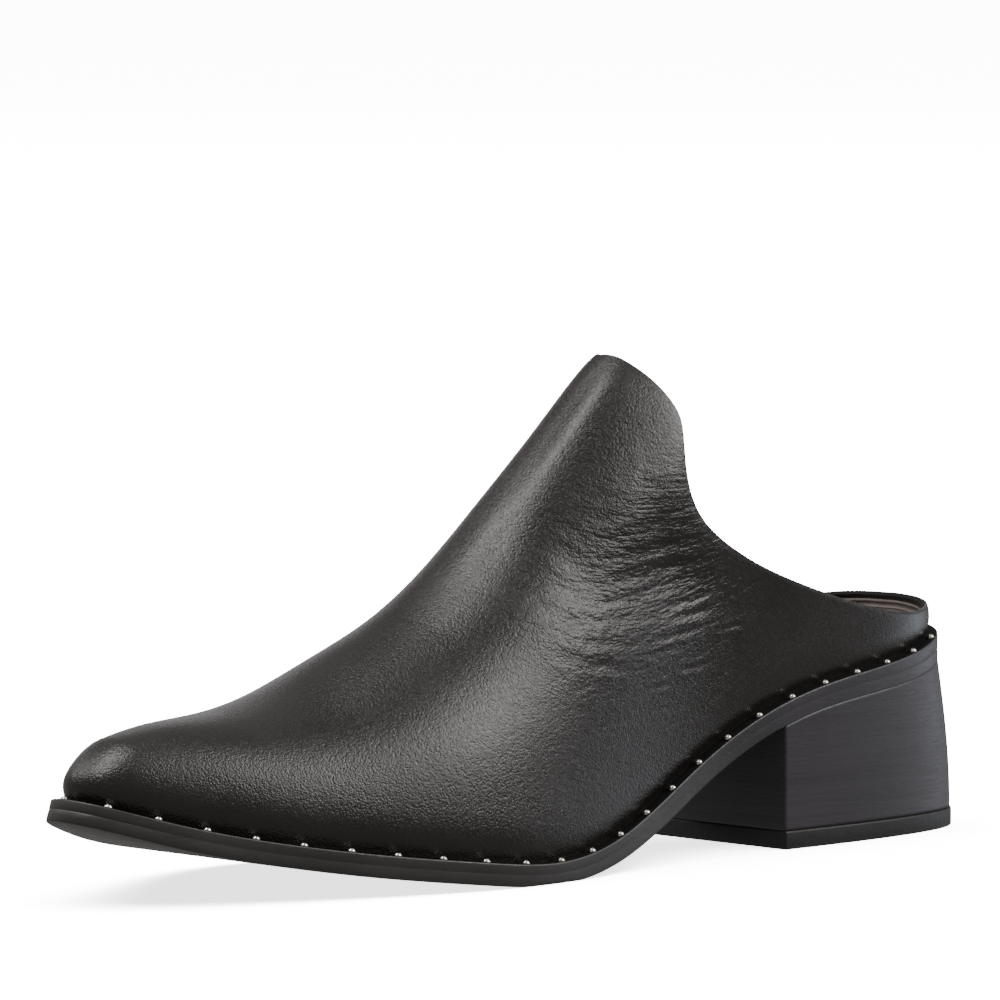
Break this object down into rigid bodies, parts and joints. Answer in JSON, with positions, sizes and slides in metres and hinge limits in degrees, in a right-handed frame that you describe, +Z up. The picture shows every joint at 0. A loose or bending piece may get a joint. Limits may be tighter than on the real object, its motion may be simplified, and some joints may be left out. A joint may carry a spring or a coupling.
{
  "type": "pointed toe mule",
  "caption": "Backless women's mule with a pointed toe, a high tab over the instep, a studded welt ledge and a low stacked block heel, left foot.",
  "frame": {"origin": "middle of the shoe's bounding box in plan, on the floor under the sole", "axes": "+X towards the toe, +Y to the outer side of the foot, +Z up"},
  "size_m": [0.2794, 0.0826, 0.1204],
  "materials": {
    "upper_leather": "soft semi-gloss black leather with a fine grain",
    "insole_leather": "matt dark brown leather",
    "sole_leather": "satin black edge dressing",
    "heel_stack": "stained black stacked leather",
    "lift_rubber": "matt black rubber",
    "stud_metal": "polished pale metal"
  },
  "bodies": {
    "root": {"upper": "upper_leather", "insole": "insole_leather", "midsole": "sole_leather", "outsole": "sole_leather", "heel": "heel_stack", "heel_lift": "lift_rubber", "stud_01": "stud_metal", "stud_02": "stud_metal", "stud_03": "stud_metal", "stud_04": "stud_metal", "stud_05": "stud_metal", "stud_06": "stud_metal", "stud_07": "stud_metal", "stud_08": "stud_metal", "stud_09": "stud_metal", "stud_10": "stud_metal", "stud_11": "stud_metal", "stud_12": "stud_metal", "stud_13": "stud_metal", "stud_14": "stud_metal", "stud_15": "stud_metal", "stud_16": "stud_metal", "stud_17": "stud_metal", "stud_18": "stud_metal", "stud_19": "stud_metal", "stud_20": "stud_metal", "stud_21": "stud_metal", "stud_22": "stud_metal", "stud_23": "stud_metal", "stud_24": "stud_metal", "stud_25": "stud_metal", "stud_26": "stud_metal", "stud_27": "stud_metal", "stud_28": "stud_metal", "stud_29": "stud_metal", "stud_30": "stud_metal", "stud_31": "stud_metal", "stud_32": "stud_metal", "stud_33": "stud_metal", "stud_34": "stud_metal", "stud_35": "stud_metal", "stud_36": "stud_metal", "stud_37": "stud_metal", "stud_38": "stud_metal", "stud_39": "stud_metal", "stud_40": "stud_metal", "stud_41": "stud_metal", "stud_42": "stud_metal", "stud_43": "stud_metal", "stud_44": "stud_metal", "stud_45": "stud_metal", "stud_46": "stud_metal", "stud_47": "stud_metal", "stud_48": "stud_metal", "stud_49": "stud_metal", "stud_50": "stud_metal", "stud_51": "stud_metal", "stud_52": "stud_metal"}
  },
  "joints": []
}
